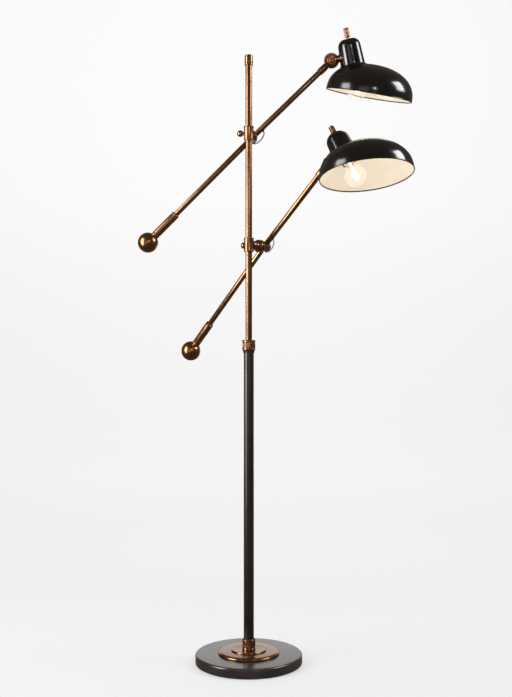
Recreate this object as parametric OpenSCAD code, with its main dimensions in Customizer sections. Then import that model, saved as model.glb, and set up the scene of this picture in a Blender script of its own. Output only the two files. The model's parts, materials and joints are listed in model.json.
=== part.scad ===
// Double-arm floor lamp: weighted round base, two-part pole and two counterbalanced arms,
// each with a swivelling sleeve, a tilting hub and a shade on a knuckle joint.

/* [Base] */
// Diameter of the weighted base
base_d = 305; // [290:1:320]
// Height of the base above the floor
base_h = 29; // [26:0.5:32]
// Diameter of the metal plate on the base
plate_d = 176; // [160:1:200]
// Diameter of the raised step round the pole
step_d = 101; // [90:1:120]

/* [Pole] */
// Diameter of the lower pole
low_pole_d = 29; // [28:0.5:30]
// Diameter of the upper pole
top_pole_d = 19; // [18:0.5:20]
// Height of the shoulder where the upper pole comes out of the collar
collar_z = 924; // [900:1:950]
// Height of the top of the upper pole's cap
pole_top_z = 1739; // [1720:1:1780]

/* [Arms] */
// Height of the upper arm's pivot
upper_z = 1515; // [1490:1:1530]
// Height of the lower arm's pivot
lower_z = 1196; // [1180:1:1220]
// Distance from the pole's axis to the arm's axis
arm_offset = 66; // [64:1:75]
// Diameter of the arm tubes
arm_d = 16; // [15:0.5:17]
// Distance from the pivot to the knuckle at the shade
front_len = 320; // [300:1:340]
// Distance from the pivot to the middle of the counterweight
rear_len = 433; // [400:1:450]
// Diameter of the counterweight ball
ball_d = 60; // [55:1:65]
// Diameter of the grip tube behind the ball
grip_d = 24; // [22:0.5:26]
// Diameter of the friction discs at the pivot
disc_d = 36; // [34:1:44]

/* [Shades] */
// Diameter of the shade's mouth
shade_d = 253; // [240:1:260]
// Height of the dome
dome_h = 88; // [80:1:100]
// Wall of the shade
wall = 1.5; // [1.2:0.1:2]
// Lean of the neck from the dome's axis
neck_lean = 22; // [20:0.5:24]
// Diameter of the bulb
bulb_d = 60; // [56:1:62]
// Diameter of the switch knob
switch_d = 16.5; // [15:0.5:18]

/* [Hidden] */
$fn = 96;

brass = "#9a6a3a";
black = "#26211f";
cream = "#f6ead0";

fit = 0.05; // radial clearance of a turning fit
snug = 0.02; // radial clearance of a fixed fit
gap = 0.3; // space between faces that move past each other
pad_h = 2;
nipple_r = 7;
plate_top = base_h + 8;
step_top = plate_top + 4;
ferrule_top = step_top + 30;
ferrule_floor = step_top + 6;
low_pole_top = collar_z - 28;
low_r = low_pole_d / 2;
top_r = top_pole_d / 2;

// one entry for the upper arm, one for the lower
arm_z = [upper_z, lower_z];
arm_yaw = [7.2, 42.6]; // turn of the sleeve round the pole
arm_tilt = [43.1, 42]; // rise of the front tube
rear_bend = [1.1, 2.6]; // extra slope of the rear tube
head_roll = [16.5, -4.6]; // turn of the knuckle round the front tube
head_lean = [10, -11]; // forward lean of the dome
knob_at = [180, 167]; // side of the sleeve that the lock knob is on

sleeve_r = 14.3;
sleeve_h = 41;
stub_r = 13;
disc_r = disc_d / 2;
disc_in = arm_offset - 30; // near face of the fixed disc, from the pole's axis
disc_t = 8;
washer_t = 1.5;
hub_in = disc_in + disc_t + washer_t + gap - arm_offset; // in the arm's frame
hub_out = 14;
drum_r = 15;
bolt_r = 5;
lock_r = 3;
lock_ball_r = 9.5;
tube_r = arm_d / 2;
tube_in = 6.5;
tube_start = 9;
lead_exit = 38; // along the front tube

ferrule_r = 10;
ferrule_len = 22;
knuckle_r = 22;
collar_back = 27; // back of the yoke's collar, from the knuckle pin
pin_r = 4;
stem_r = 6;
half_t = 9; // thickness of each knuckle disc
half_in = 1;
eye_r = 14; // the bracket's disc
boss_r = 10.5;

shade_r = shade_d / 2;
rim_bead = 1.8;
skirt = 4;
dome_power = 2.2;
dome_at = [126, 0, -78]; // middle of the mouth, from the knuckle pin
neck_at = 58; // from the knuckle pin to the neck's axis
neck_side = -5.5; // side shift of the bracket's boss
neck_top = 50;
neck_round = 22;
neck_r_top = 32.5;
neck_r_low = 36.5;
neck_low = -45;
flange_r = 14;
conduit_r = 5;
bulb_r = bulb_d / 2;
bulb_mid = -96;
cap_r = 13.2;
core_r = 17;
switch_pin = 3;

// route of the lead in the arm's frame, from the hub's drum to the front tube
lead_r = 2;
lead_route = [
    [-5, 3, -11], [-5, 3, -16.8], [-2, 4, -20], [6, 5.5, -21.5], [15, 5.5, -21.5],
    [25, 4, -20], [33, 2, -17], [37, 0.4, -13.5], [38, 0, -10.5], [38, 0, -6]
];

function arc(c, r, from, to, n) = [for (i = [0:n]) let (a = from + (to - from) * i / n)
    c + r * [cos(a), sin(a)]];
function neck_r(z) = neck_r_top + (neck_r_low - neck_r_top)
    * (neck_top - neck_round - z) / (neck_top - neck_round - neck_low);
function dome_profile(r, h) = concat([[0, 0], [r, 0]], [for (t = [0:5:90])
    [r * pow(cos(t), 2 / dome_power), skirt + (h - skirt) * pow(sin(t), 2 / dome_power)]]);
function neck_profile(inset) = concat(
    [[0, neck_low - inset], [neck_r_low - inset, neck_low - inset]],
    arc([neck_r_top - neck_round, neck_top - neck_round], neck_round - inset, 0, 90, 8),
    [[0, neck_top - inset]]);
function bulb_profile(r) = concat([[0, -38], [12.5 - bulb_r + r, -38], [12.5 - bulb_r + r, -45],
    [14 - bulb_r + r, -52], [16.2 - bulb_r + r, -60], [19.2 - bulb_r + r, -68]],
    arc([0, bulb_mid], r, 42, -90, 14));

module disc(r, from, to) {
    translate([0, 0, from]) cylinder(r = r, h = to - from);
}

// a cylinder along X, and one along Y
module along_x(r, from, to) {
    rotate([0, 90, 0]) disc(r, from, to);
}

module along_y(r, from, to) {
    rotate([-90, 0, 0]) disc(r, from, to);
}

// a turned part about Z with a round outer edge at its top
module turned(r, from, to, edge) {
    rotate_extrude() polygon(concat([[0, from], [r, from]],
        arc([r - edge, to - edge], edge, 0, 90, 6), [[0, to]]));
}

module at_sleeve(i) {
    translate([0, 0, arm_z[i]]) rotate([0, 0, -arm_yaw[i]]) children();
}

module at_arm(i) {
    at_sleeve(i) translate([0, arm_offset, 0]) rotate([0, -arm_tilt[i], 0]) children();
}

module at_knuckle(i) {
    at_arm(i) translate([front_len, 0, 0]) rotate([head_roll[i], 0, 0]) children();
}

module at_head(i) {
    at_knuckle(i) rotate([0, arm_tilt[i] + head_lean[i], 0]) children();
}

module in_neck() {
    rotate([0, -neck_lean, 0]) translate([neck_at, 0, 0]) children();
}

module at_neck(i) {
    at_head(i) in_neck() children();
}

module felt_pad() {
    color("#3a3a38") disc(base_d / 2 - 5, 0, pad_h);
}

module base_disc() {
    color(black) difference() {
        turned(base_d / 2, pad_h, base_h, 4);
        disc(42, pad_h - 1, 14);
        disc(nipple_r + snug, 13, base_h + 1);
        translate([0, 0, 9]) along_y(4, 30, base_d / 2 - 10);
        translate([0, 0, 9]) along_y(6 + snug, base_d / 2 - 12, base_d / 2 + 2);
    }
}

module base_nut() {
    color("silver") difference() {
        translate([0, 0, 6]) cylinder(r = 16, h = 8, $fn = 6);
        disc(nipple_r + snug, 5, 15);
    }
}

module base_nipple() {
    color("silver") difference() {
        disc(nipple_r, 5, ferrule_floor + 12);
        disc(nipple_r - 1.8, 4, ferrule_floor + 13);
    }
}

module base_plate() {
    color(brass) difference() {
        turned(plate_d / 2, base_h, plate_top, 5);
        disc(nipple_r + snug, base_h - 1, plate_top + 1);
    }
}

module base_step() {
    color(brass) difference() {
        turned(step_d / 2, plate_top, step_top, 2.5);
        disc(nipple_r + snug, plate_top - 1, step_top + 1);
    }
}

module base_ferrule() {
    color(brass) difference() {
        turned(19.2, step_top, ferrule_top, 3);
        disc(nipple_r + snug, step_top - 1, ferrule_floor + 1);
        disc(low_r + snug, ferrule_floor, ferrule_top + 1);
    }
}

module cord_gland() {
    color("#202020") translate([0, 0, 9]) difference() {
        union() {
            along_y(6, base_d / 2 - 12, base_d / 2);
            along_y(8, base_d / 2, base_d / 2 + 2.5);
        }
        along_y(3.5, base_d / 2 - 13, base_d / 2 + 3);
    }
}

module lower_pole() {
    color(black) difference() {
        disc(low_r, ferrule_floor, low_pole_top);
        disc(low_r - 2, ferrule_floor - 1, low_pole_top + 1);
    }
}

module pole_collar() {
    color(brass) difference() {
        rotate_extrude() polygon([[0, collar_z - 38], [15.8, collar_z - 38], [19, collar_z - 26],
            [19, collar_z - 1.5], [17.5, collar_z], [0, collar_z]]);
        disc(low_r + snug, collar_z - 39, low_pole_top);
        disc(top_r + snug, low_pole_top - 1, collar_z + 1);
    }
}

module upper_pole() {
    color(brass) difference() {
        disc(top_r, collar_z - 64, pole_top_z - 9);
        disc(top_r - 2, collar_z - 65, pole_top_z - 8);
    }
}

module pole_cap() {
    color(brass) difference() {
        turned(12, pole_top_z - 30, pole_top_z, 2);
        disc(top_r + snug, pole_top_z - 31, pole_top_z - 9);
    }
}

module sleeve(i) {
    color(brass) at_sleeve(i) difference() {
        union() {
            disc(sleeve_r, -sleeve_h / 2, sleeve_h / 2);
            along_y(stub_r, 0, disc_in + 1);
            along_y(disc_r, disc_in, disc_in + disc_t);
        }
        disc(top_r + fit, -sleeve_h, sleeve_h);
        along_y(bolt_r + snug, 20, arm_offset);
        rotate([0, 0, knob_at[i]]) along_x(lock_r + fit, 0, sleeve_r + 1);
    }
}

module lock_knob(i) {
    color(brass) at_sleeve(i) rotate([0, 0, knob_at[i]]) {
        along_x(lock_r, top_r + gap, 20);
        translate([sleeve_r + 0.8 + lock_ball_r, 0, 0]) sphere(r = lock_ball_r);
    }
}

module hub_bolt(i) {
    color(brass) at_arm(i) {
        along_y(bolt_r, 22 - arm_offset, hub_out + gap + 1);
        rotate([-90, 0, 0]) turned(11, hub_out + gap, hub_out + gap + 6, 3);
    }
}

module hub_washer(i) {
    color("#2b2b2b") at_arm(i) difference() {
        along_y(disc_r - 2, hub_in - gap - washer_t, hub_in - gap);
        along_y(bolt_r + snug, -arm_offset, 0);
    }
}

module hub(i) {
    color(brass) at_arm(i) difference() {
        union() {
            along_y(disc_r, hub_in, hub_in + 7);
            along_y(drum_r, hub_in + 6, hub_out);
        }
        along_y(bolt_r + fit, hub_in - 1, hub_out + 1);
        along_x(tube_r + snug, tube_start, drum_r + 9);
        rotate([0, -rear_bend[i], 0]) along_x(tube_r + snug, -drum_r - 9, -tube_start);
        translate([-5, 3, 0]) disc(4 + snug, -drum_r - 1, -10.5);
    }
}

module front_tube(i) {
    color(brass) at_arm(i) difference() {
        along_x(tube_r, tube_start, front_len - collar_back - 14);
        along_x(tube_in, tube_start - 1, front_len);
        translate([lead_exit, 0, 0]) disc(4 + snug, -tube_r - 1, -2);
    }
}

module rear_tube(i) {
    color(brass) at_arm(i) rotate([0, -rear_bend[i], 0]) difference() {
        along_x(tube_r, -rear_len + 100, -tube_start);
        along_x(tube_in, -rear_len, 0);
    }
}

module grip(i) {
    color(brass) at_arm(i) rotate([0, -rear_bend[i], 0]) {
        difference() {
            rotate([0, 90, 0]) turned(grip_d / 2, 24 - rear_len, 119 - rear_len, 3);
            translate([-rear_len, 0, 0]) sphere(r = ball_d / 2 + 0.15);
            along_x(tube_r + snug, 100 - rear_len, 120 - rear_len);
        }
        along_x(stem_r, 16 - rear_len, 40 - rear_len);
    }
}

module ball(i) {
    color(brass) at_arm(i) rotate([0, -rear_bend[i], 0]) difference() {
        translate([-rear_len, 0, 0]) sphere(r = ball_d / 2);
        along_x(stem_r + snug, 15 - rear_len, 40 - rear_len);
    }
}

module end_ferrule(i) {
    color(brass) at_arm(i) translate([front_len - collar_back - gap, 0, 0]) difference() {
        rotate([0, -90, 0]) turned(ferrule_r, 0, ferrule_len, 1);
        along_x(tube_r + snug, -ferrule_len - 1, -13.7);
        along_x(stem_r + fit, -15, 1);
    }
}

// tube swept along a list of points, each ring square to the route
module sweep(route, r, sides) {
    n = len(route);
    ring = [for (k = [0:n - 1])
        let (d = route[min(k + 1, n - 1)] - route[max(k - 1, 0)],
             u = cross(d, [0, 1, 0]) / norm(cross(d, [0, 1, 0])),
             v = cross(u, d) / norm(d))
        for (j = [0:sides - 1]) route[k] + r * (u * cos(360 * j / sides) + v * sin(360 * j / sides))];
    side = [for (k = [0:n - 2], j = [0:sides - 1]) let (m = (j + 1) % sides)
        [k * sides + j, k * sides + m, (k + 1) * sides + m, (k + 1) * sides + j]];
    first = [for (j = [sides - 1:-1:0]) j];
    last = [for (j = [0:sides - 1]) (n - 1) * sides + j];
    polyhedron(points = ring, faces = concat(side, [first], [last]));
}

module lead(i) {
    color("#b9bbb8") at_arm(i) sweep(lead_route, lead_r, 8);
}

module grommets(i) {
    color("#202020") at_arm(i) {
        for (at = [[-5, 3, -drum_r - 1.5], [lead_exit, 0, -tube_r - 1.5]])
            translate(at) difference() {
                disc(4, 0, 4);
                disc(lead_r + 0.5, -1, 5);
            }
    }
}

module yoke(i) {
    color(brass) at_knuckle(i) difference() {
        union() {
            along_x(stem_r, -collar_back - 13, -collar_back + 1);
            along_x(ferrule_r, -collar_back, -knuckle_r - 0.5);
            along_y(knuckle_r, half_in, half_in + half_t);
            intersection() {
                along_x(ferrule_r, -collar_back, -10);
                translate([-50, half_in, -50]) cube([100, half_t, 100]);
            }
        }
        along_y(pin_r + snug, 0, 20);
    }
}

module knuckle_washer(i) {
    color("#2b2b2b") at_knuckle(i) difference() {
        along_y(eye_r - 1.5, gap - half_in, half_in);
        along_y(pin_r + snug, -2, 2);
    }
}

module knuckle_screw(i) {
    color(brass) at_knuckle(i) {
        along_y(pin_r, -half_in - half_t - gap - 1, half_in + half_t);
        rotate([90, 0, 0]) turned(8, half_in + half_t + gap, half_in + half_t + gap + 4, 2);
    }
}

module neck_solid(inset) {
    rotate_extrude() polygon(neck_profile(inset));
}

module bracket(i) {
    color(brass) at_head(i) difference() {
        union() {
            along_y(eye_r, -half_in - half_t, -half_in);
            rotate([0, -neck_lean, 0]) translate([0, neck_side, 0]) {
                intersection() {
                    along_x(boss_r, 8.5, knuckle_r + 1);
                    translate([0, -50, -50]) cube([50, 50 - half_in - neck_side, 100]);
                }
                along_x(conduit_r, knuckle_r, 36);
                difference() {
                    along_x(flange_r, knuckle_r + 0.7, 36);
                    translate([neck_at, -neck_side, 0]) neck_solid(-snug);
                }
            }
        }
        along_y(pin_r + fit, -20, 1);
    }
}

module shade(i) {
    color(black) at_head(i) {
        difference() {
            union() {
                translate(dome_at) rotate_extrude() polygon(dome_profile(shade_r, dome_h));
                in_neck() neck_solid(0);
            }
            translate(dome_at) rotate_extrude()
                polygon(dome_profile(shade_r - wall, dome_h - wall));
            translate(dome_at) disc(shade_r - wall, -1, 1);
            in_neck() {
                neck_solid(wall);
                disc(switch_pin + fit, 0, neck_top + 1);
                translate([0, neck_side, 0]) along_x(conduit_r + snug, 10 - neck_at, -15);
            }
        }
        translate(dome_at) rotate_extrude()
            translate([shade_r - wall / 2, 0]) circle(r = rim_bead, $fn = 24);
    }
}

module socket_plate(i) {
    color("silver") at_neck(i) difference() {
        disc(neck_r(2.5) - wall - snug, 0, 2.5);
        disc(switch_pin + 0.4, -1, 4);
        translate([-40, neck_side - conduit_r - gap, -1]) cube([18.5, 2 * conduit_r + 2 * gap, 5]);
    }
}

module socket_shell(i) {
    color(brass) at_neck(i) difference() {
        turned(19, -50, 0, 3);
        disc(core_r + snug, -51, -3);
        disc(switch_pin + 0.4, -4, 1);
    }
}

module socket_core(i) {
    color("white") at_neck(i) difference() {
        disc(core_r, -47, -12);
        disc(cap_r + 0.1, -48, -18);
    }
}

module bulb_cap(i) {
    color("silver") at_neck(i) difference() {
        union() {
            disc(cap_r, -44, -20);
            disc(4, -20.5, -18.2);
        }
        disc(12.6, -45, -24);
    }
}

module bulb_glass(i) {
    color("#fff6e0") at_neck(i) difference() {
        rotate_extrude() polygon(bulb_profile(bulb_r));
        rotate_extrude() polygon(bulb_profile(bulb_r - 0.8));
        disc(11.7, -40, -37);
    }
}

module switch_knob(i) {
    color(brass) at_neck(i) {
        disc(switch_pin, -6, neck_top + 5);
        turned(switch_d / 2, neck_top + 3.5, neck_top + 30.5, 1.5);
    }
}

felt_pad();
base_disc();
base_nut();
base_nipple();
base_plate();
base_step();
base_ferrule();
cord_gland();
lower_pole();
pole_collar();
upper_pole();
pole_cap();
sleeve(0);  // upper_sleeve
lock_knob(0);  // upper_lock_knob
hub_bolt(0);  // upper_hub_bolt
hub_washer(0);  // upper_hub_washer
hub(0);  // upper_hub
front_tube(0);  // upper_front_tube
rear_tube(0);  // upper_rear_tube
grip(0);  // upper_grip
ball(0);  // upper_ball
end_ferrule(0);  // upper_end_ferrule
lead(0);  // upper_lead
grommets(0);  // upper_grommets
yoke(0);  // upper_yoke
knuckle_washer(0);  // upper_knuckle_washer
knuckle_screw(0);  // upper_knuckle_screw
bracket(0);  // upper_bracket
shade(0);  // upper_shade
socket_plate(0);  // upper_socket_plate
socket_shell(0);  // upper_socket_shell
socket_core(0);  // upper_socket_core
bulb_cap(0);  // upper_bulb_cap
bulb_glass(0);  // upper_bulb_glass
switch_knob(0);  // upper_switch_knob
sleeve(1);  // lower_sleeve
lock_knob(1);  // lower_lock_knob
hub_bolt(1);  // lower_hub_bolt
hub_washer(1);  // lower_hub_washer
hub(1);  // lower_hub
front_tube(1);  // lower_front_tube
rear_tube(1);  // lower_rear_tube
grip(1);  // lower_grip
ball(1);  // lower_ball
end_ferrule(1);  // lower_end_ferrule
lead(1);  // lower_lead
grommets(1);  // lower_grommets
yoke(1);  // lower_yoke
knuckle_washer(1);  // lower_knuckle_washer
knuckle_screw(1);  // lower_knuckle_screw
bracket(1);  // lower_bracket
shade(1);  // lower_shade
socket_plate(1);  // lower_socket_plate
socket_shell(1);  // lower_socket_shell
socket_core(1);  // lower_socket_core
bulb_cap(1);  // lower_bulb_cap
bulb_glass(1);  // lower_bulb_glass
switch_knob(1);  // lower_switch_knob
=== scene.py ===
import json
import math
import bpy
import bmesh
from mathutils import Matrix, Vector


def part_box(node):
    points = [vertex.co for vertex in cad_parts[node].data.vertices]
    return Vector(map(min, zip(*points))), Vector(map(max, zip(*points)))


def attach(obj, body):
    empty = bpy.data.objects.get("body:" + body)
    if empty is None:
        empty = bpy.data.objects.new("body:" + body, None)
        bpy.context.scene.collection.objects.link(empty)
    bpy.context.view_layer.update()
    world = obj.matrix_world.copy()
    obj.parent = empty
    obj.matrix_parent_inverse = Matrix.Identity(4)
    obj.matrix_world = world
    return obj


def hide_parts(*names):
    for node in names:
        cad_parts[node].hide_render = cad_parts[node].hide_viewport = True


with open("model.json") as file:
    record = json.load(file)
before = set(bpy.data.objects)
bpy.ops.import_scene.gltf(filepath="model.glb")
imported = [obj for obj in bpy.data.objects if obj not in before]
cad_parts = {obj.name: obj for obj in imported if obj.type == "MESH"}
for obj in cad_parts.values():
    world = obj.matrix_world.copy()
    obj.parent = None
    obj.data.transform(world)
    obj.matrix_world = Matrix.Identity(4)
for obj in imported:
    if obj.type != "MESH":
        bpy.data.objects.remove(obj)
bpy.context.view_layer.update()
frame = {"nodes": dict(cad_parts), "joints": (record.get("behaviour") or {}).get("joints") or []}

mm = 0.001
joints = {j["name"]: j for j in frame["joints"]}
arms = ("upper", "lower")

# camera: level, looking straight at the pole
view = {"at": (0.0206, -2.909, 0.8995), "pitch": 90, "lens": 52.5, "sensor": 36, "far": 60}
camera = bpy.data.objects.new("camera", bpy.data.cameras.new("camera"))
bpy.context.scene.collection.objects.link(camera)
camera.location = view["at"]
camera.rotation_euler = (math.radians(view["pitch"]), 0, 0)
camera.data.lens = view["lens"]
camera.data.sensor_width = view["sensor"]
camera.data.clip_end = view["far"]
bpy.context.scene.camera = camera


# frames of the moving parts
def placed(origin, xAxis, yAxis, zAxis):
    turn = Matrix((xAxis, yAxis, zAxis)).transposed().to_4x4()
    return Matrix.Translation(origin) @ turn


def armFrames(name):
    up = Vector((0, 0, 1))
    swivel = Vector(joints[name + "_arm_swivel"]["pos_m"])
    tilt = joints[name + "_arm_tilt"]
    out = -Vector(tilt["axis"]).normalized()
    along = Vector(joints[name + "_head_swivel"]["axis"]).normalized()
    pin = -Vector(joints[name + "_head_tilt"]["axis"]).normalized()
    knuckle = Vector(joints[name + "_head_tilt"]["pos_m"])
    neck = Vector(joints[name + "_switch_turn"]["axis"]).normalized()
    lock = Vector(joints[name + "_lock_turn"]["axis"]).normalized()
    neckSide = pin.cross(neck)
    return {
        "sleeve": placed(swivel, out.cross(up), out, up),
        "lock": placed(swivel, up.cross(lock), up, lock),
        "arm": placed(Vector(tilt["pos_m"]), along, out, along.cross(out)),
        "knuckle": placed(knuckle, along, pin, along.cross(pin)),
        "neck": placed(Vector(joints[name + "_switch_turn"]["pos_m"]), neckSide, pin, neck),
        "bracket": placed(knuckle, neckSide, pin, neck),
    }


frames = {name: armFrames(name) for name in arms}
toX = Matrix.Rotation(math.radians(90), 4, "Y")
toY = Matrix.Rotation(math.radians(-90), 4, "X")
print("frames of", len(arms), "arms")


# mesh helpers, in millimetres
def arc(centre, radius, start, end, steps):
    points = []
    for k in range(steps + 1):
        a = math.radians(start + (end - start) * k / steps)
        points.append((centre[0] + radius * math.cos(a), centre[1] + radius * math.sin(a)))
    return points


def softened(points, size, steps=4, closed=False):
    # rounds each corner of an outline with a short curve that starts and ends up to size away
    made = []
    count = len(points)
    for k, p in enumerate(points):
        if not closed and k in (0, count - 1):
            made.append(p)
            continue
        here = Vector(p)
        before = Vector(points[k - 1]) - here
        after = Vector(points[(k + 1) % count]) - here
        reach = min(size, before.length * 0.45, after.length * 0.45)
        if reach < 0.05 or before.angle(after) > math.radians(165):
            made.append(p)
            continue
        a = here + before.normalized() * reach
        b = here + after.normalized() * reach
        for s in range(steps + 1):
            t = s / steps
            made.append(tuple(a * (1 - t) ** 2 + here * 2 * t * (1 - t) + b * t * t))
    return made


def meshObject(name, verts, faces, material, matrix=None, faceMaterial=None):
    mesh = bpy.data.meshes.new(name)
    mesh.from_pydata([Vector(v) * mm for v in verts], [], faces)
    for m in material if isinstance(material, (list, tuple)) else [material]:
        mesh.materials.append(m)
    if faceMaterial:
        mesh.polygons.foreach_set("material_index", faceMaterial)
    if matrix is not None:
        mesh.transform(matrix)
    fixed = bmesh.new()
    fixed.from_mesh(mesh)
    bmesh.ops.remove_doubles(fixed, verts=fixed.verts, dist=1e-6)
    bmesh.ops.recalc_face_normals(fixed, faces=fixed.faces)
    fixed.to_mesh(mesh)
    fixed.free()
    mesh.shade_smooth()
    mesh.set_sharp_from_angle(angle=math.radians(38))
    obj = bpy.data.objects.new(name, mesh)
    bpy.context.scene.collection.objects.link(obj)
    return obj


def lathe(name, outline, material, matrix=None, ring=False, segments=96, bend=None):
    # outline is (radius, height) points: from axis to axis, or a closed ring
    verts, faces = [], []
    rows = []
    for r, z in outline:
        if r < 1e-6:
            rows.append([len(verts)])
            verts.append((0, 0, z))
            continue
        rows.append(list(range(len(verts), len(verts) + segments)))
        for k in range(segments):
            a = 2 * math.pi * k / segments
            verts.append((r * math.cos(a), r * math.sin(a), z))
    pairs = list(zip(rows, rows[1:]))
    if ring:
        pairs.append((rows[-1], rows[0]))
    for low, high in pairs:
        if len(low) == 1 and len(high) == 1:
            continue
        for k in range(segments):
            n = (k + 1) % segments
            if len(low) == 1:
                faces.append((low[0], high[n], high[k]))
            elif len(high) == 1:
                faces.append((low[k], low[n], high[0]))
            else:
                faces.append((low[k], low[n], high[n], high[k]))
    if bend:
        verts = [bend(Vector(v)) for v in verts]
    return meshObject(name, verts, faces, material, matrix)


def united(name, pieces):
    # one solid from several closed ones
    main = pieces[0]
    for other in pieces[1:]:
        step = main.modifiers.new("join", "BOOLEAN")
        step.operation = "UNION"
        step.solver = "EXACT"
        step.object = other
    mesh = bpy.data.meshes.new_from_object(main.evaluated_get(
        bpy.context.evaluated_depsgraph_get()))
    material = main.data.materials[0]
    for piece in pieces:
        bpy.data.objects.remove(piece)
    mesh.materials.clear()
    mesh.materials.append(material)
    mesh.name = name
    mesh.shade_smooth()
    mesh.set_sharp_from_angle(angle=math.radians(30))
    obj = bpy.data.objects.new(name, mesh)
    bpy.context.scene.collection.objects.link(obj)
    return obj


def finished(obj, body, slot, *nodes):
    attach(obj, body)
    if nodes:
        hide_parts(*nodes)
    return obj


# shader groups
def newGroup(name, inputs, outputs):
    group = bpy.data.node_groups.new(name, "ShaderNodeTree")
    for label, kind, value in inputs:
        socket = group.interface.new_socket(label, in_out="INPUT", socket_type=kind)
        socket.default_value = value
    for label, kind in outputs:
        group.interface.new_socket(label, in_out="OUTPUT", socket_type=kind)
    return group, group.nodes.new("NodeGroupInput"), group.nodes.new("NodeGroupOutput")


def noise(tree, vector, scale, detail=3, rough=0.5):
    node = tree.nodes.new("ShaderNodeTexNoise")
    node.inputs["Detail"].default_value = detail
    node.inputs["Roughness"].default_value = rough
    tree.links.new(vector, node.inputs["Vector"])
    if hasattr(scale, "is_output"):
        tree.links.new(scale, node.inputs["Scale"])
    else:
        node.inputs["Scale"].default_value = scale
    return node.outputs["Fac"]


def ranged(tree, value, low, high, first, last):
    node = tree.nodes.new("ShaderNodeMapRange")
    for label, v in (("From Min", low), ("From Max", high), ("To Min", first), ("To Max", last)):
        node.inputs[label].default_value = v
    tree.links.new(value, node.inputs["Value"])
    return node.outputs["Result"]


def surfaceGroup():
    # slow colour change, fine grain and brushed streaks along the turned local Z axis
    group, given, out = newGroup("surfaceDetail", [
        ("Turn", "NodeSocketVector", (0, 0, 0)), ("Blotch Scale", "NodeSocketFloat", 12),
        ("Grain Scale", "NodeSocketFloat", 900), ("Streak Scale", "NodeSocketFloat", 500)],
        [("Blotch", "NodeSocketFloat"), ("Grain", "NodeSocketFloat"), ("Streak", "NodeSocketFloat"),
         ("Specks", "NodeSocketFloat")])
    spot = group.nodes.new("ShaderNodeTexCoord").outputs["Object"]
    turned = group.nodes.new("ShaderNodeMapping")
    group.links.new(spot, turned.inputs["Vector"])
    group.links.new(given.outputs["Turn"], turned.inputs["Rotation"])
    drawn = group.nodes.new("ShaderNodeMapping")
    drawn.inputs["Scale"].default_value = (1, 1, 0.015)
    group.links.new(turned.outputs["Vector"], drawn.inputs["Vector"])
    blotch = noise(group, spot, given.outputs["Blotch Scale"], 5, 0.62)
    grain = noise(group, spot, given.outputs["Grain Scale"], 2)
    streak = noise(group, drawn.outputs["Vector"], given.outputs["Streak Scale"], 3)
    specks = noise(group, spot, 260, 4, 0.7)
    group.links.new(ranged(group, blotch, 0.34, 0.66, 0, 1), out.inputs["Blotch"])
    group.links.new(grain, out.inputs["Grain"])
    group.links.new(ranged(group, streak, 0.3, 0.7, 0, 1), out.inputs["Streak"])
    group.links.new(ranged(group, specks, 0.62, 0.72, 0, 1), out.inputs["Specks"])
    return group


detail = surfaceGroup()


def material(name, look):
    # a look holds two colours that the slow pattern mixes, the specks, the roughness range,
    # the bump and the plain shader values
    made = bpy.data.materials.new(name)
    made.use_nodes = True
    tree = made.node_tree
    shader = tree.nodes["Principled BSDF"]
    marks = tree.nodes.new("ShaderNodeGroup")
    marks.node_tree = detail
    marks.inputs["Turn"].default_value = look.get("turn", (0, 0, 0))
    marks.inputs["Blotch Scale"].default_value = look.get("blotch", 12)
    marks.inputs["Grain Scale"].default_value = look.get("grain", 900)
    marks.inputs["Streak Scale"].default_value = look.get("streak", 500)
    mix = tree.nodes.new("ShaderNodeMix")
    mix.data_type = "RGBA"
    mix.inputs["A"].default_value = (*look["colours"][0], 1)
    mix.inputs["B"].default_value = (*look["colours"][1], 1)
    tree.links.new(marks.outputs["Blotch"], mix.inputs["Factor"])
    speckled = tree.nodes.new("ShaderNodeMix")
    speckled.data_type = "RGBA"
    speckled.inputs["B"].default_value = (*look.get("speckColour", look["colours"][0]), 1)
    amount = ranged(tree, marks.outputs["Specks"], 0, 1, 0, look.get("specks", 0.3))
    tree.links.new(amount, speckled.inputs["Factor"])
    tree.links.new(mix.outputs["Result"], speckled.inputs["A"])
    tree.links.new(speckled.outputs["Result"], shader.inputs["Base Color"])
    blend = tree.nodes.new("ShaderNodeMix")
    blend.inputs["Factor"].default_value = look.get("streaky", 0.5)
    tree.links.new(marks.outputs["Blotch"], blend.inputs["A"])
    tree.links.new(marks.outputs["Streak"], blend.inputs["B"])
    rough = ranged(tree, blend.outputs["Result"], 0, 1, *look["rough"])
    tree.links.new(rough, shader.inputs["Roughness"])
    height = tree.nodes.new("ShaderNodeMix")
    height.inputs["Factor"].default_value = look.get("streaky", 0.5)
    tree.links.new(marks.outputs["Grain"], height.inputs["A"])
    tree.links.new(marks.outputs["Streak"], height.inputs["B"])
    bump = tree.nodes.new("ShaderNodeBump")
    bump.inputs["Strength"].default_value = look.get("bump", 0.1)
    bump.inputs["Distance"].default_value = look.get("depth", 0.0002)
    tree.links.new(height.outputs["Result"], bump.inputs["Height"])
    tree.links.new(bump.outputs["Normal"], shader.inputs["Normal"])
    for label, value in look.get("shader", {}).items():
        shader.inputs[label].default_value = value
    # emission: the bulb's own light on the bulb pieces, painted bulb light on the cream enamel
    if "glow" in look:
        shader.inputs["Emission Strength"].default_value = look["glow"]
        tint = tree.nodes.new("ShaderNodeMix")
        tint.data_type = "RGBA"
        tint.inputs["A"].default_value = (*look["glowColours"][0], 1)
        tint.inputs["B"].default_value = (*look["glowColours"][1], 1)
        tree.links.new(marks.outputs["Blotch"], tint.inputs["Factor"])
        tree.links.new(tint.outputs["Result"], shader.inputs["Emission Color"])
    return made


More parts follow.
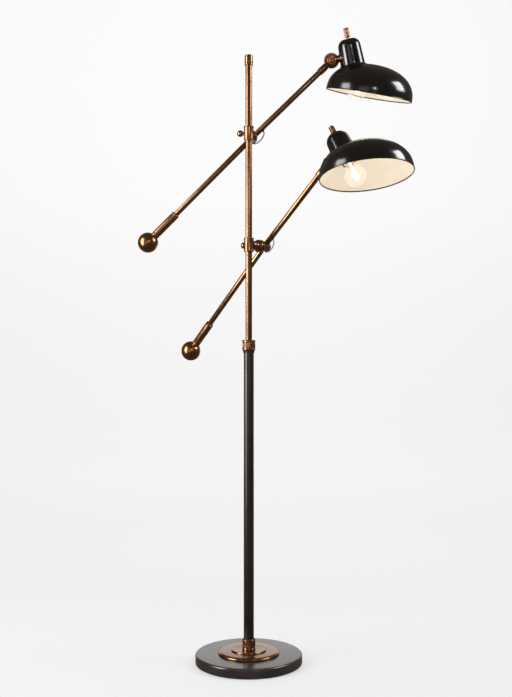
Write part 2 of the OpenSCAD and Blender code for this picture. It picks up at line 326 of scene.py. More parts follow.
brassLook = {
    "colours": ((0.25, 0.115, 0.042), (0.40, 0.215, 0.095)), "speckColour": (0.10, 0.04, 0.018),
    "specks": 0.2, "rough": (0.21, 0.30), "bump": 0.015, "streaky": 0.6, "depth": 0.0001,
    "shader": {"Metallic": 1.0, "Coat Weight": 0.6, "Coat Roughness": 0.12},
}
# the arms' copy of the brass is lighter and redder than the stand's: painted light that makes up for
# the arms catching less light than the pole
armLook = {**brassLook, "colours": ((0.28, 0.110, 0.036), (0.47, 0.212, 0.080))}
looks = {
    "brass": brassLook,
    "redBrass": {**brassLook, "colours": ((0.13, 0.048, 0.024), (0.20, 0.088, 0.042))},
    "baseBronze": {"colours": ((0.056, 0.044, 0.040), (0.080, 0.065, 0.060)), "specks": 0.4,
                   "speckColour": (0.09, 0.07, 0.055), "rough": (0.20, 0.34), "bump": 0.05,
                   "streaky": 0.2, "shader": {"Metallic": 0.55, "Coat Weight": 0.7,
                                              "Coat Roughness": 0.22}},
    "poleBlack": {"colours": ((0.017, 0.011, 0.008), (0.036, 0.024, 0.016)), "specks": 0.3,
                  "speckColour": (0.06, 0.045, 0.035), "rough": (0.24, 0.38), "bump": 0.06,
                  "streaky": 0.7, "shader": {"Metallic": 0.35, "Coat Weight": 0.5,
                                             "Coat Roughness": 0.2}},
    "enamelBlack": {"colours": ((0.0040, 0.0028, 0.0020), (0.0075, 0.0052, 0.0036)), "specks": 0.1,
                    "speckColour": (0.02, 0.015, 0.011), "rough": (0.15, 0.22), "bump": 0.02,
                    "grain": 240, "streaky": 0.0, "depth": 0.0004,
                    "shader": {"Coat Weight": 0.5, "Coat Roughness": 0.12, "IOR": 1.5}},
    # cream inner skin of the shade, with a weak warm emission that is painted bulb light on the enamel
    "enamelCreamPaintedGlow": {"colours": ((0.86, 0.78, 0.63), (0.91, 0.84, 0.71)), "specks": 0.06,
                    "speckColour": (0.66, 0.56, 0.42), "rough": (0.34, 0.46), "bump": 0.04,
                    "streaky": 0.0, "glow": 0.22,
                    "glowColours": ((1.0, 0.84, 0.66), (1.0, 0.88, 0.74))},
    "bulbGlass": {"colours": ((0.96, 0.93, 0.90), (1.0, 0.98, 0.96)), "specks": 0.0,
                  "rough": (0.02, 0.05), "bump": 0.01, "streaky": 0.0, "glow": 0.06,
                  "glowColours": ((1.0, 0.86, 0.70), (1.0, 0.92, 0.80)),
                  "shader": {"Transmission Weight": 0.96, "IOR": 1.25}},
    "bulbGlow": {"colours": ((1.0, 0.85, 0.6), (1.0, 0.9, 0.7)), "specks": 0.0,
                 "rough": (0.4, 0.5), "glow": 3.5,
                 "glowColours": ((1.0, 0.84, 0.62), (1.0, 0.90, 0.74))},
    "capMetal": {"colours": ((0.62, 0.62, 0.60), (0.78, 0.77, 0.74)), "specks": 0.2,
                 "rough": (0.2, 0.35), "shader": {"Metallic": 1.0}},
    "zinc": {"colours": ((0.42, 0.42, 0.43), (0.6, 0.6, 0.6)), "specks": 0.4,
             "speckColour": (0.25, 0.24, 0.22), "rough": (0.3, 0.5),
             "shader": {"Metallic": 1.0}},
    "porcelain": {"colours": ((0.82, 0.79, 0.70), (0.9, 0.88, 0.82)), "specks": 0.1,
                  "rough": (0.12, 0.25), "shader": {"Coat Weight": 0.4}},
    "leadJacket": {"colours": ((0.42, 0.43, 0.41), (0.56, 0.57, 0.54)), "specks": 0.1,
                   "rough": (0.3, 0.45), "bump": 0.05, "streaky": 0.0},
    "blackRubber": {"colours": ((0.012, 0.012, 0.012), (0.03, 0.03, 0.029)), "specks": 0.3,
                    "rough": (0.55, 0.75), "bump": 0.2, "streaky": 0.0},
    "felt": {"colours": ((0.02, 0.02, 0.02), (0.06, 0.06, 0.055)), "specks": 0.5,
             "rough": (0.85, 0.98), "bump": 0.6, "depth": 0.0008, "streaky": 0.0},
}
paint = {name: material(name, look) for name, look in looks.items()}
brass = {}
for name in arms:
    turn = frames[name]["arm"].to_3x3() @ toX.to_3x3()
    brass[name] = material(name + "Brass", {**armLook, "turn": turn.inverted().to_euler()})
print(len(paint) + len(arms), "materials")


# repeated ridges
def ridgeTree():
    # round-ended rods set upright on a circle, each turned to face outwards
    tree = bpy.data.node_groups.new("ridgesOnCircle", "GeometryNodeTree")
    face = tree.interface
    face.new_socket("Geometry", in_out="OUTPUT", socket_type="NodeSocketGeometry")
    for label, kind in (("Count", "NodeSocketInt"), ("Circle Radius", "NodeSocketFloat"),
                        ("Ridge Radius", "NodeSocketFloat"), ("Height", "NodeSocketFloat"),
                        ("Middle", "NodeSocketFloat"), ("Material", "NodeSocketMaterial")):
        face.new_socket(label, in_out="INPUT", socket_type=kind)
    given = tree.nodes.new("NodeGroupInput")
    out = tree.nodes.new("NodeGroupOutput")
    circle = tree.nodes.new("GeometryNodeMeshCircle")
    circle.fill_type = "NONE"
    tree.links.new(given.outputs["Count"], circle.inputs["Vertices"])
    tree.links.new(given.outputs["Circle Radius"], circle.inputs["Radius"])
    rod = tree.nodes.new("GeometryNodeMeshUVSphere")
    rod.inputs["Segments"].default_value = 10
    rod.inputs["Rings"].default_value = 8
    rod.inputs["Radius"].default_value = 1
    place = tree.nodes.new("GeometryNodeInstanceOnPoints")
    tree.links.new(circle.outputs["Mesh"], place.inputs["Points"])
    tree.links.new(rod.outputs["Mesh"], place.inputs["Instance"])
    size = tree.nodes.new("ShaderNodeCombineXYZ")
    half = tree.nodes.new("ShaderNodeMath")
    half.operation = "MULTIPLY"
    half.inputs[1].default_value = 0.5
    tree.links.new(given.outputs["Height"], half.inputs[0])
    tree.links.new(given.outputs["Ridge Radius"], size.inputs["X"])
    tree.links.new(given.outputs["Ridge Radius"], size.inputs["Y"])
    tree.links.new(half.outputs[0], size.inputs["Z"])
    tree.links.new(size.outputs["Vector"], place.inputs["Scale"])
    lift = tree.nodes.new("ShaderNodeCombineXYZ")
    tree.links.new(given.outputs["Middle"], lift.inputs["Z"])
    move = tree.nodes.new("GeometryNodeTransform")
    tree.links.new(place.outputs["Instances"], move.inputs["Geometry"])
    tree.links.new(lift.outputs["Vector"], move.inputs["Translation"])
    real = tree.nodes.new("GeometryNodeRealizeInstances")
    tree.links.new(move.outputs["Geometry"], real.inputs["Geometry"])
    smooth = tree.nodes.new("GeometryNodeSetShadeSmooth")
    tree.links.new(real.outputs["Geometry"], smooth.inputs["Geometry"])
    finish = tree.nodes.new("GeometryNodeSetMaterial")
    tree.links.new(smooth.outputs["Geometry"], finish.inputs["Geometry"])
    tree.links.new(given.outputs["Material"], finish.inputs["Material"])
    tree.links.new(finish.outputs["Geometry"], out.inputs["Geometry"])
    return tree


ridges = ridgeTree()


def ridgeRing(name, settings, surface, matrix, body, slot):
    holder = bpy.data.objects.new(name + "Maker", bpy.data.meshes.new(name + "Maker"))
    bpy.context.scene.collection.objects.link(holder)
    maker = holder.modifiers.new("ridges", "NODES")
    maker.node_group = ridges
    ids = {s.name: s.identifier for s in ridges.interface.items_tree if s.in_out == "INPUT"}
    for label, value in settings.items():
        maker[ids[label]] = value
    maker[ids["Material"]] = surface
    mesh = bpy.data.meshes.new_from_object(holder.evaluated_get(
        bpy.context.evaluated_depsgraph_get()))
    bpy.data.objects.remove(holder)
    mesh.name = name
    mesh.transform(matrix)
    obj = bpy.data.objects.new(name, mesh)
    bpy.context.scene.collection.objects.link(obj)
    return finished(obj, body, slot)


# base and pole
def span(node):
    # half width, lowest and highest point of a CAD node, in millimetres
    low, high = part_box(node)
    return (high[0] - low[0]) / 2 / mm, low[2] / mm, high[2] / mm


stand = {"edge": 3.5, "stepDish": 1.6, "nipple": 7.05, "pocket": 42, "pocketDepth": 12,
         "fit": 0.03, "wall": 2, "turns": 160}


def standPiece(name, node, outline, surface, slot, ring=True):
    return finished(lathe(name, outline, surface, ring=ring, segments=stand["turns"]),
                    "stand", slot, node)


def buildBase():
    r, low, high = span("base_disc")
    hole, edge, pocket = stand["nipple"], stand["edge"], stand["pocket"]
    inside = low + stand["pocketDepth"]
    disc = softened([(hole, inside), (pocket, inside), (pocket, low), (r - 0.4, low), (r, low + 3),
                     (r, high - edge), (r - edge, high), (hole, high)], 2.2, 5, True)
    standPiece("baseDisc", "base_disc", disc, paint["baseBronze"], "base_bronze")
    r, low, high = span("base_plate")
    plate = softened([(hole, low + 0.05), (r - 1.5, low + 0.05), (r - 0.6, low + 1.2), (r, low + 3.2),
                      (r - 1.4, low + 5.6), (r - 5.5, high - 0.4), (r - 8, high), (hole, high)],
                     1.8, 4, True)
    standPiece("basePlate", "base_plate", plate, paint["brass"], "aged_brass")
    r, low, high = span("base_step")
    dish = stand["stepDish"]
    step = softened([(hole, low + 0.05), (r, low + 0.05), (r, high - 1.2), (r - 1.6, high),
                     (r - 4, high), (r - 20, high - dish), (hole, high - dish)], 1.2, 4, True)
    standPiece("baseStep", "base_step", step, paint["brass"], "aged_brass")


def buildPole():
    r, low, high = span("base_ferrule")
    pole, poleLow, poleHigh = span("lower_pole")
    fit, wall = stand["fit"], stand["wall"]
    foot = softened([(pole + fit, low - 1.4), (r, low - 1.4), (r, low + 2.5), (r - 1.1, low + 3.3),
                     (r - 1.1, high - 5.6), (r, high - 4.8), (r, high - 2.2), (r - 2.4, high),
                     (pole + fit, high)], 0.8, 4, True)
    standPiece("baseFerrule", "base_ferrule", foot, paint["brass"], "aged_brass")
    ridgeRing("baseFerruleReeds", {"Count": 54, "Circle Radius": (r - 1.15) * mm,
                                   "Ridge Radius": 0.85 * mm, "Height": (high - low - 10) * mm,
                                   "Middle": (low + high - 2.6) / 2 * mm},
              paint["brass"], Matrix(), "stand", "aged_brass")
    tube = softened([(pole - wall, poleLow), (pole, poleLow), (pole, poleHigh),
                     (pole - wall, poleHigh)], 0.4, 3, True)
    standPiece("lowerPole", "lower_pole", tube, paint["poleBlack"], "pole_black")
    r, low, high = span("pole_collar")
    thin, thinLow, thinHigh = span("upper_pole")
    collar = softened([(pole + fit, low), (15.8, low), (16.4, low + 3.5), (r - 1.4, low + 8),
                       (r, low + 10.5), (r, low + 14), (r - 1, low + 14.8), (r - 1, high - 7.4),
                       (r, high - 6.6), (r, high - 2), (r - 2, high), (thin + fit, high),
                       (thin + fit, poleHigh), (pole + fit, poleHigh)], 0.8, 4, True)
    standPiece("poleCollar", "pole_collar", collar, paint["brass"], "aged_brass")
    ridgeRing("poleCollarReeds", {"Count": 56, "Circle Radius": (r - 1.05) * mm,
                                  "Ridge Radius": 0.8 * mm, "Height": (high - low - 20.5) * mm,
                                  "Middle": (low + high + 7.4) / 2 * mm},
              paint["brass"], Matrix(), "stand", "aged_brass")
    tube = softened([(thin - wall, thinLow), (thin, thinLow), (thin, thinHigh),
                     (thin - wall, thinHigh)], 0.4, 3, True)
    standPiece("upperPole", "upper_pole", tube, paint["brass"], "aged_brass")
    r, low, high = span("pole_cap")
    cap = softened([(thin + fit, low), (r - 0.6, low), (r, low + 0.8), (r, low + 5),
                    (r - 0.7, low + 5.5), (r - 0.7, low + 6.5), (r, low + 7), (r, high - 1.8),
                    (r - 2.2, high), (0, high)],
                   0.7, 4)
    cap = [(0, high - 9), (thin + fit, high - 9)] + cap
    standPiece("poleCap", "pole_cap", cap, paint["brass"], "aged_brass", ring=False)


buildBase()
buildPole()
for node, name in (("felt_pad", "felt"), ("base_nut", "zinc"), ("base_nipple", "zinc"),
                   ("cord_gland", "blackRubber")):
    obj = frame["nodes"][node]
    obj.data.materials.clear()
    obj.data.materials.append(paint[name])
print("base and pole")


# sleeve, hub and tubes
armSizes = {
    "pole": 9.55, "sleeve": 14.3, "half": 20.5, "stub": 13, "disc": 18,
    "discIn": 36, "discOut": 44, "lockBall": 9.5, "lockAt": 24.6, "tube": 8, "tubeIn": 6.5,
    "front": 320, "frontEnd": 41, "rear": 433, "rearEnd": 100, "tubeStart": 9,
    "ball": 30, "grip": 12, "gripNose": 119,
}
rearBend = {"upper": 1.1, "lower": 2.6}


def buildSleeve(name):
    s = armSizes
    here = frames[name]["sleeve"]
    surface = brass[name]
    tube = softened([(s["pole"], -s["half"]), (s["sleeve"] - 0.8, -s["half"]),
                     (s["sleeve"], 1 - s["half"]), (s["sleeve"], 4 - s["half"]),
                     (s["sleeve"] - 0.6, 4.6 - s["half"]), (s["sleeve"] - 0.6, s["half"] - 4.6),
                     (s["sleeve"], s["half"] - 4), (s["sleeve"], s["half"] - 1),
                     (s["sleeve"] - 0.8, s["half"]), (s["pole"], s["half"])], 0.6, 3, True)
    barrel = lathe("barrel", tube, surface, here, ring=True)
    stub = [(0, 11), (s["stub"], 11), (s["stub"], 25), (s["stub"] - 1.2, 26.5),
            (s["stub"] - 1.2, 29), (s["stub"], 33), (s["stub"] + 1.5, s["discIn"] - 0.5),
            (s["disc"] - 1.4, s["discIn"] + 0.2), (s["disc"], s["discIn"] + 1.6),
            (s["disc"], s["discOut"] - 0.8), (s["disc"] - 0.8, s["discOut"]), (0, s["discOut"])]
    arm = lathe("stub", softened(stub, 1.2, 4), surface, here @ toY)
    finished(united(name + "Sleeve", [barrel, arm]), name + "_swivel", "aged_brass",
             name + "_sleeve")
    lock = [(0, 9.8), (3, 9.8), (3, 14.6), (5.6, 14.7), (5.6, 15.6), (3.4, 16.6)]
    lock += arc((0, s["lockAt"]), s["lockBall"], -68, 90, 18)
    lock[-1] = (0, s["lockAt"] + s["lockBall"])
    finished(lathe(name + "LockKnob", lock, surface, frames[name]["lock"]),
             name + "_lock", "aged_brass", name + "_lock_knob")


def buildHub(name):
    s = armSizes
    here = frames[name]["arm"]
    surface = brass[name]
    drum = [(5.05, -20.2), (17.2, -20.2), (18, -19.4), (18, -15.6), (16.8, -14), (15.4, -12.8),
            (15, -11), (15, 10.6), (13.8, 13.2), (11.5, 14), (5.05, 14)]
    finished(lathe(name + "Hub", softened(drum, 1.2, 4, True), surface, here @ toY, ring=True),
             name + "_arm", "aged_brass", name + "_hub")
    bolt = [(0, -44), (5, -44), (5, 14.3), (11, 14.3), (11, 16.2), (9.6, 18.2), (6, 19.7), (0, 20.3)]
    finished(lathe(name + "HubBolt", softened(bolt, 1, 4), surface, here @ toY),
             name + "_swivel", "aged_brass", name + "_hub_bolt")
    washer = softened([(5.05, -22), (16, -22), (16, -20.5), (5.05, -20.5)], 0.3, 2, True)
    finished(lathe(name + "HubWasher", washer, paint["blackRubber"], here @ toY, ring=True),
             name + "_swivel", "black_plastic", name + "_hub_washer")


def buildTubes(name):
    s = armSizes
    here = frames[name]["arm"]
    surface = brass[name]
    start, front, rear = s["tubeStart"], s["front"] - s["frontEnd"], s["rearEnd"] - s["rear"]
    wall = softened([(s["tubeIn"], start), (s["tube"], start), (s["tube"], front),
                     (s["tubeIn"], front)], 0.4, 2, True)
    finished(lathe(name + "FrontTube", wall, surface, here @ toX, ring=True), name + "_arm",
             "aged_brass", name + "_front_tube")
    back = here @ Matrix.Rotation(math.radians(-rearBend[name]), 4, "Y") @ toX
    wall = softened([(s["tubeIn"], rear), (s["tube"], rear), (s["tube"], -start),
                     (s["tubeIn"], -start)], 0.4, 2, True)
    finished(lathe(name + "RearTube", wall, surface, back, ring=True), name + "_arm",
             "aged_brass", name + "_rear_tube")
    nose = s["gripNose"] - s["rear"]
    ballEnd = math.sqrt(s["ball"] ** 2 - s["grip"] ** 2) - s["rear"]
    grip = [(0, 16 - s["rear"]), (6, 16 - s["rear"]), (6, ballEnd - 1), (11, ballEnd - 0.4),
            (11, ballEnd + 1.5), (s["grip"], ballEnd + 2.4), (s["grip"], ballEnd + 8),
            (s["grip"] - 0.8, ballEnd + 9), (s["grip"] - 0.8, ballEnd + 10),
            (s["grip"], ballEnd + 11), (s["grip"], nose - 9), (s["grip"] - 0.8, nose - 8),
            (s["grip"] - 0.8, nose - 7), (s["grip"], nose - 6), (s["grip"], nose - 2),
            (s["grip"] - 2.6, nose), (s["tube"] + 0.02, nose), (s["tube"] + 0.02, nose - 20),
            (0, nose - 20)]
    finished(lathe(name + "Grip", softened(grip, 0.8, 3), surface, back), name + "_arm",
             "aged_brass", name + "_grip")
    ball = [(0, 15 - s["rear"]), (6.03, 15 - s["rear"])]
    ball += arc((0, -s["rear"]), s["ball"], 76, -89.9, 60)
    ball[-1] = (0, -s["ball"] - s["rear"])
    finished(lathe(name + "Ball", ball, surface, back, segments=128), name + "_arm",
             "aged_brass", name + "_ball")


def buildEnd(name):
    here = frames[name]["arm"] @ Matrix.Translation((armSizes["front"] * mm, 0, 0)) @ toX
    ferrule = softened([(8.03, -49.3), (9.2, -49.3), (10, -48.5), (10, -45), (9.4, -44.4),
                        (9.4, -43.2), (10, -42.6), (10, -29), (9, -27.3), (6.05, -27.3),
                        (6.05, -41), (8.03, -41)], 0.6, 4, True)
    finished(lathe(name + "EndFerrule", ferrule, brass[name], here, ring=True), name + "_arm",
             "aged_brass", name + "_end_ferrule")


leadWire = {"radius": 2, "eyelets": ((-5, 3, -16.5), (38, 0, -9.5))}
leadRoute = [
    (-5, 3, -11), (-5, 3, -16.8), (-2, 4, -20), (6, 5.5, -21.5), (15, 5.5, -21.5),
    (25, 4, -20), (33, 2, -17), (37, 0.4, -13.5), (38, 0, -10.5), (38, 0, -6),
]


def buildLead(name):
    here = frames[name]["arm"]
    curve = bpy.data.curves.new(name + "Lead", "CURVE")
    curve.dimensions = "3D"
    curve.bevel_depth = leadWire["radius"] * mm
    curve.bevel_resolution = 5
    curve.use_fill_caps = True
    line = curve.splines.new("NURBS")
    line.points.add(len(leadRoute) - 1)
    for point, at in zip(line.points, leadRoute):
        point.co = (*(Vector(at) * mm), 1)
    line.use_endpoint_u = True
    line.order_u = 3
    line.resolution_u = 6
    holder = bpy.data.objects.new(name + "LeadCurve", curve)
    bpy.context.scene.collection.objects.link(holder)
    mesh = bpy.data.meshes.new_from_object(holder.evaluated_get(
        bpy.context.evaluated_depsgraph_get()))
    bpy.data.objects.remove(holder)
    mesh.transform(here)
    mesh.materials.clear()
    mesh.materials.append(paint["leadJacket"])
    mesh.shade_smooth()
    lead = bpy.data.objects.new(name + "Lead", mesh)
    bpy.context.scene.collection.objects.link(lead)
    finished(lead, name + "_arm", "lead_jacket", name + "_lead")
    eyelet = softened([(2.1, 0), (3.2, -0.4), (3.9, 0.6), (3.9, 4), (2.1, 4)], 0.8, 3, True)
    rings = []
    for at in leadWire["eyelets"]:
        rings.append(lathe("eyelet", eyelet, paint["blackRubber"],
                           here @ Matrix.Translation(Vector(at) * mm), ring=True, segments=32))
    finished(united(name + "Grommets", rings), name + "_arm", "rubber", name + "_grommets")


# knuckle
def buildKnuckle(name):
    here = frames[name]["knuckle"]
    surface = paint["redBrass"]
    disc = lathe("disc", softened([(4.02, 1), (20.4, 1), (22, 2.4), (22, 7.6), (20, 9.6),
                                   (14, 10), (12.6, 8.9), (8, 8.9), (7, 10), (4.02, 10)], 1.2, 4, True),
                 surface, here @ toY, ring=True)
    stem = lathe("stem", softened([(0, -40), (6, -40), (6, -27), (10, -27), (10, -23.2),
                                   (9.2, -22.6), (0, -22.6)], 0.7, 3), surface, here @ toX)
    link = lathe("link", softened([(0, -25), (7.4, -25), (4.5, -20), (4.4, -12), (0, -12)], 0.8, 3),
                 surface, here @ Matrix.Translation((0, 5.4 * mm, 0)) @ toX,
                 bend=lambda v: Vector((v.x, max(v.y, -4.1), v.z)))
    finished(united(name + "Yoke", [disc, stem, link]), name + "_knuckle", "aged_brass",
             name + "_yoke")
    washer = softened([(4.02, -0.7), (12.5, -0.7), (12.5, 0.98), (4.02, 0.98)], 0.3, 2, True)
    finished(lathe(name + "KnuckleWasher", washer, paint["blackRubber"], here @ toY, ring=True),
             name + "_knuckle", "black_plastic", name + "_knuckle_washer")
    surface = brass[name]
    screw = [(0, 10), (4, 10), (4, -10.3), (8, -10.3), (8, -12), (6.6, -13.6), (3.4, -14.2),
             (2.6, -13), (0, -13)]
    finished(lathe(name + "KnuckleScrew", softened(screw, 0.7, 3), surface, here @ toY),
             name + "_knuckle", "aged_brass", name + "_knuckle_screw")


neckSizes = {
    "at": 58, "lean": 22, "top": 50, "round": 22, "rTop": 32.5, "rLow": 36.5, "low": -45,
    "bossSide": -5.5, "domeAt": (126, -78), "wall": 1.5, "mouth": 126.5, "height": 88,
    "skirt": 4, "power": 2.2, "fillet": 6, "columns": 144, "stem": 3.1, "bead": 1.8,
    "halvings": 40, "filletSteps": 8, "domeSteps": 34, "skinSteps": 30, "easing": 1.35,
    "bossFlat": -1.05, "flangeFrom": 22.6, "bossEnd": 40,
}


def neckRadius(z):
    s = neckSizes
    high = s["top"] - s["round"]
    return s["rTop"] + (s["rLow"] - s["rTop"]) * (high - z) / (high - s["low"])


def buildBracket(name):
    s = neckSizes
    here = frames[name]["bracket"]
    surface = brass[name]
    disc = lathe("disc", softened([(4.05, -10), (12.6, -10), (14, -8.6), (14, -2.2), (13.2, -1),
                                   (4.05, -1)], 1, 4, True), surface, here @ toY, ring=True)
    side = Matrix.Translation((0, s["bossSide"] * mm, 0))

    def saddle(v):
        # local z is the boss's axis: one side is flat, and the far end follows the neck
        if v.z < s["flangeFrom"]:
            return Vector((v.x, min(v.y, s["bossFlat"] - s["bossSide"]), v.z))
        if v.z < 30:
            return v
        across = s["bossSide"] + v.y
        reach = s["at"] - math.sqrt(neckRadius(-v.x) ** 2 - across ** 2) - 0.05
        return Vector((v.x, v.y, v.z - s["bossEnd"] + reach))

    ends = [(r, s["bossEnd"]) for r in (14, 10.5, 7, 3.5, 0)]
    boss = lathe("boss", [(0, 8.6), (9.7, 8.6), (10.5, 9.4), (10.5, 22.5), (12.9, 22.7), (13.7, 22.9),
                          (14, 23.3)] + ends, surface, here @ side @ toX, bend=saddle)
    finished(united(name + "Bracket", [disc, boss]), name + "_head", "aged_brass",
             name + "_bracket")


# shade: dome and leaning neck in one skin
def domeGap(radial, height, r, h, skirt, power):
    # below zero inside the dome
    if height <= skirt:
        return radial - r
    t = (height - skirt) / (h - skirt)
    return (radial / r) ** power + t ** power - 1


def shadeColumn(angle, inset):
    # outline in the half plane through the neck's axis: from the stem's hole to the rim
    s = neckSizes
    lean = math.radians(s["lean"])
    r, h = s["mouth"] - inset, s["height"] - inset
    outward = Vector((math.cos(angle), math.sin(angle), 0))
    # the dome's axis and the middle of its mouth, seen from the neck
    up = Vector((math.sin(lean), 0, math.cos(lean)))
    toMouth = Vector((s["domeAt"][0], 0, s["domeAt"][1]))
    turn = Matrix.Rotation(lean, 3, "Y")
    mouth = turn @ toMouth - Vector((s["at"], 0, 0))
    drop = mouth.dot(up) / up.z
    centre = Vector((0, 0, drop))

    def onDome(direction):
        near, far = 0, 3 * s["mouth"]
        for _ in range(s["halvings"]):
            mid = (near + far) / 2
            p = centre + direction * mid - mouth
            height = p.dot(up)
            radial = (p - up * height).length
            if domeGap(radial, height, r, h, s["skirt"], s["power"]) < 0:
                near = mid
            else:
                far = mid
        return centre + direction * near

    widest = math.atan2(up.z, -outward.dot(up))
    low, high = 0.02, widest
    for _ in range(s["halvings"]):
        mid = (low + high) / 2
        p = onDome(Vector((0, 0, math.cos(mid))) + outward * math.sin(mid))
        if math.hypot(p.x, p.y) < neckRadius(p.z) - inset:
            low = mid
        else:
            high = mid
    start = low
    corner = onDome(Vector((0, 0, math.cos(start))) + outward * math.sin(start))
    cornerFlat = Vector((math.hypot(corner.x, corner.y), corner.z))
    outline = [Vector((s["stem"], s["top"] - inset))]
    centreTop = (s["rTop"] - s["round"], s["top"] - s["round"])
    for p in arc(centreTop, s["round"] - inset, 90, 0, 10):
        outline.append(Vector(p))
    shoulder = outline[-1]
    fillet = s["fillet"] + inset
    foot = cornerFlat + (shoulder - cornerFlat).normalized() * fillet
    few = s["filletSteps"]
    for k in range(1, few + 1):
        outline.append(shoulder.lerp(foot, k / few))
    dome = []
    for k in range(s["domeSteps"] + 1):
        t = k / s["domeSteps"]
        a = start + (widest - start) * (1 - (1 - t) ** s["easing"])
        p = onDome(Vector((0, 0, math.cos(a))) + outward * math.sin(a))
        dome.append(Vector((math.hypot(p.x, p.y), p.z)))
    # leave the dome where the fillet ends and carry on from there
    past = [p for p in dome if (p - cornerFlat).length > fillet]
    a, b, c = foot, cornerFlat, past[0]
    for k in range(1, few):
        t = k / few
        outline.append(a * (1 - t) ** 2 + b * 2 * t * (1 - t) + c * t * t)
    length = [0]
    for p, q in zip(past, past[1:]):
        length.append(length[-1] + (q - p).length)
    for k in range(s["skinSteps"] + 1):
        want = length[-1] * k / s["skinSteps"]
        i = max(j for j in range(len(length)) if length[j] <= want + 1e-9)
        if i == len(past) - 1:
            outline.append(past[-1])
        else:
            part = (want - length[i]) / (length[i + 1] - length[i])
            outline.append(past[i].lerp(past[i + 1], part))
    return [outward * p.x + Vector((0, 0, p.y)) for p in outline], up, outward


def buildShade(name):
    s = neckSizes
    verts, rows = [], []
    for k in range(s["columns"]):
        angle = 2 * math.pi * k / s["columns"]
        outer, up, outward = shadeColumn(angle, 0)
        inner, _, _ = shadeColumn(angle, s["wall"])
        rim = outer[-1]
        away = rim - inner[-1]
        away = (away - up * away.dot(up)).normalized()
        middle = (rim + inner[-1]) / 2 + up * 0.6
        bead = []
        for turn in range(-30, -331, -30):
            a = math.radians(turn + 90)
            bead.append(middle + (away * math.cos(a) + up * math.sin(a)) * s["bead"])
        column = outer[:-1] + bead + list(reversed(inner[:-1]))
        rows.append(list(range(len(verts), len(verts) + len(column))))
        verts += column
        skinEnd = len(outer) - 1 + len(bead)
    faces, kinds = [], []
    tall = len(rows[0])
    for k in range(len(rows)):
        here, there = rows[k], rows[(k + 1) % len(rows)]
        for j in range(tall):
            n = (j + 1) % tall
            faces.append((here[j], there[j], there[n], here[n]))
            kinds.append(1 if skinEnd - 1 <= j < tall - 1 else 0)
    shade = meshObject(name + "Shade", verts, faces, [paint["enamelBlack"], paint["enamelCreamPaintedGlow"]],
                       frames[name]["neck"], kinds)
    finished(shade, name + "_head", "shade_enamel", name + "_shade")


# socket, bulb and switch
bulb = {"r": 30, "mid": -96, "capR": 13.2, "capTop": -20, "capLow": -44, "threads": 5}


def buildSocket(name):
    here = frames[name]["neck"]
    shell = softened([(3.4, 0), (16, 0), (19, -3), (19, -44), (19.6, -45), (19.6, -49), (19, -50),
                      (17.05, -50), (17.05, -3.2), (3.4, -3)], 1, 3, True)
    finished(lathe(name + "SocketShell", shell, brass[name], here, ring=True), name + "_head",
             "aged_brass", name + "_socket_shell")
    core = softened([(0, -12), (17, -12), (17, -47), (14.6, -47.4), (13.3, -46), (13.3, -18),
                     (0, -18)], 0.8, 3)
    finished(lathe(name + "SocketCore", core, paint["porcelain"], here), name + "_head",
             "porcelain", name + "_socket_core")
    cap = [(0, -18.2), (4, -18.4), (4.4, -20), (10.5, -22.5)]
    pitch = (bulb["capTop"] - bulb["capLow"] - 6) / bulb["threads"]
    for k in range(bulb["threads"]):
        top = bulb["capTop"] - 3 - pitch * k
        cap += [(bulb["capR"] - 1, top), (bulb["capR"], top - pitch / 2)]
    cap += [(bulb["capR"] - 0.8, bulb["capLow"] + 1), (12.6, bulb["capLow"]), (12.6, -24), (0, -24)]
    finished(lathe(name + "BulbCap", softened(cap, 0.7, 3), paint["capMetal"], here),
             name + "_head", "bulb_cap", name + "_bulb_cap")
    outer = [(12.4, -38), (12.5, -44), (13.4, -50), (15.2, -57), (18.3, -65.5)]
    outer += arc((0, bulb["mid"]), bulb["r"], 50, -90, 34)
    outer[-1] = (0, bulb["mid"] - bulb["r"])
    inner = [(max(r - 0.8, 0), z if r > 1 else z + 0.8) for r, z in reversed(outer)]
    glass = lathe(name + "BulbGlass", outer + inner, paint["bulbGlass"], here, ring=True)
    finished(glass, name + "_head", "bulb_glass", name + "_bulb_glass")
    glow = [(0, -46), (3.2, -47), (3.2, -70), (4.6, -76), (7, -88), (7, -100), (4.6, -108), (0, -110)]
    finished(lathe(name + "BulbGlow", softened(glow, 2, 4), paint["bulbGlow"], here, segments=48),
             name + "_head", "bulb_glass")


def buildSwitch(name):
    here = frames[name]["neck"]
    surface = brass[name]
    knob = [(0, -6), (3, -6), (3, 53.5), (7, 53.5), (8, 54.6), (8, 57.6), (7.4, 58.4), (7.4, 76.6),
            (8, 77.4), (8, 79), (6.6, 80.5), (2, 80.5), (1.2, 80), (0, 80)]
    finished(lathe(name + "SwitchKnob", softened(knob, 0.5, 3), surface, here),
             name + "_switch", "aged_brass", name + "_switch_knob")
    ridgeRing(name + "SwitchRidges", {"Count": 28, "Circle Radius": 7.35 * mm,
                                      "Ridge Radius": 0.5 * mm, "Height": 18.4 * mm,
                                      "Middle": 67.5 * mm}, surface, here,
              name + "_switch", "aged_brass")
    plate = frame["nodes"][name + "_socket_plate"]
    plate.data.materials.clear()
    plate.data.materials.append(paint["zinc"])


for name in arms:
    for build in (buildSleeve, buildHub, buildTubes, buildEnd, buildLead, buildKnuckle,
                  buildBracket, buildShade, buildSocket, buildSwitch):
        build(name)
    print(name, "arm")


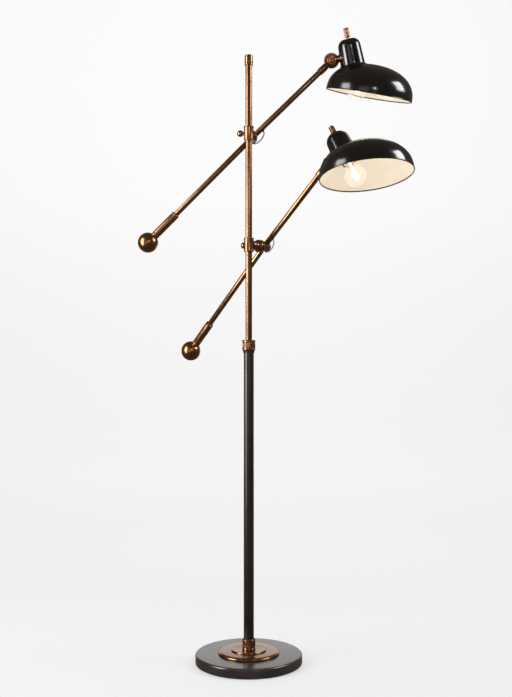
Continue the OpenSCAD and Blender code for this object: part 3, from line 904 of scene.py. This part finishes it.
# studio, in metres
studio = {
    "halfWidth": 9, "front": -6, "wallAt": 4.5, "wallTop": 7, "bend": 2.0, "bendSteps": 12,
    "paper": (0.36, 0.36, 0.36, 1), "glowByHeight": (0, 3.4, 0.545, 0.695),
    "glowByDepth": (0.9, 3.2, -0.06, 0.085), "air": (0.32, 0.30, 0.285, 1), "airStrength": 0.3,
}
softboxes = {
    "leftBox": {"at": (-2.6, -1.05, 1.95), "target": (0, 0, 1.6), "size": (1.3, 2.1), "power": 62},
    "leftLow": {"at": (-2.4, -1.2, 0.72), "target": (0, 0, 0.65), "size": (0.8, 1.35), "power": 24,
                "diffuse": False},
    "rightBox": {"at": (2.6, -0.15, 2.75), "target": (0.3, 0, 1.65), "size": (1.1, 1.3), "power": 46},
    "frontSmall": {"at": (0.9, -3.4, 1.95), "target": (0.3, 0, 1.6), "size": (0.35, 0.35), "power": 7},
    "frontDim": {"at": (-1.1, -3.9, 1.3), "target": (0, 0, 1.2), "size": (1.9, 2.2), "power": 8},
    "overhead": {"at": (0, 0.3, 3.9), "target": (0, 0.3, 0), "size": (3.4, 3.0), "power": 70,
                 "glossy": False},
    "backCard": {"at": (0, 2.2, 0.72), "target": (0, 0, 0.4), "size": (3.4, 0.95), "power": 8,
                 "diffuse": False},
}


def buildBackdrop():
    # floor that curves up into a wall, with a little light of its own to even it out
    s = studio
    foot, bend, steps = s["wallAt"] - s["bend"], s["bend"], s["bendSteps"]
    outline = [(s["front"], 0), (foot, 0)]
    for k in range(1, steps + 1):
        a = math.radians(90 * k / steps)
        outline.append((foot + bend * math.sin(a), bend - bend * math.cos(a)))
    outline.append((s["wallAt"], s["wallTop"]))
    verts = [(side * s["halfWidth"], y, z) for y, z in outline for side in (-1, 1)]
    faces = [(2 * k, 2 * k + 1, 2 * k + 3, 2 * k + 2) for k in range(len(outline) - 1)]
    mesh = bpy.data.meshes.new("backdrop")
    mesh.from_pydata(verts, [], faces)
    mesh.shade_smooth()
    paper = bpy.data.materials.new("backdropPaper")
    paper.use_nodes = True
    tree = paper.node_tree
    shader = tree.nodes["Principled BSDF"]
    shader.inputs["Base Color"].default_value = s["paper"]
    shader.inputs["Roughness"].default_value = 0.9
    shader.inputs["Specular IOR Level"].default_value = 0.1
    shader.inputs["Emission Color"].default_value = (1, 1, 1, 1)
    spot = tree.nodes.new("ShaderNodeTexCoord").outputs["Object"]
    parts = tree.nodes.new("ShaderNodeSeparateXYZ")
    tree.links.new(spot, parts.inputs[0])
    glow = tree.nodes.new("ShaderNodeMath")
    glow.operation = "ADD"
    tree.links.new(ranged(tree, parts.outputs["Z"], *s["glowByHeight"]), glow.inputs[0])
    tree.links.new(ranged(tree, parts.outputs["Y"], *s["glowByDepth"]), glow.inputs[1])
    tree.links.new(glow.outputs[0], shader.inputs["Emission Strength"])
    mesh.materials.append(paper)
    floor = bpy.data.objects.new("backdrop", mesh)
    bpy.context.scene.collection.objects.link(floor)
    floor.visible_glossy = False


def buildLights():
    for label, box in softboxes.items():
        light = bpy.data.lights.new(label, "AREA")
        light.shape = "RECTANGLE"
        light.size, light.size_y = box["size"]
        light.energy = box["power"]
        obj = bpy.data.objects.new(label, light)
        bpy.context.scene.collection.objects.link(obj)
        obj.location = box["at"]
        aim = Vector(box["target"]) - Vector(box["at"])
        obj.rotation_euler = aim.to_track_quat("-Z", "Y").to_euler()
        obj.visible_glossy = box.get("glossy", True)
        obj.visible_diffuse = box.get("diffuse", True)
        obj.visible_camera = False
    world = bpy.data.worlds.new("studio")
    bpy.context.scene.world = world
    world.use_nodes = True
    air = world.node_tree.nodes["Background"]
    air.inputs["Color"].default_value = studio["air"]
    air.inputs["Strength"].default_value = studio["airStrength"]
    bpy.context.scene.view_settings.view_transform = "Standard"


buildBackdrop()
buildLights()
print("studio")
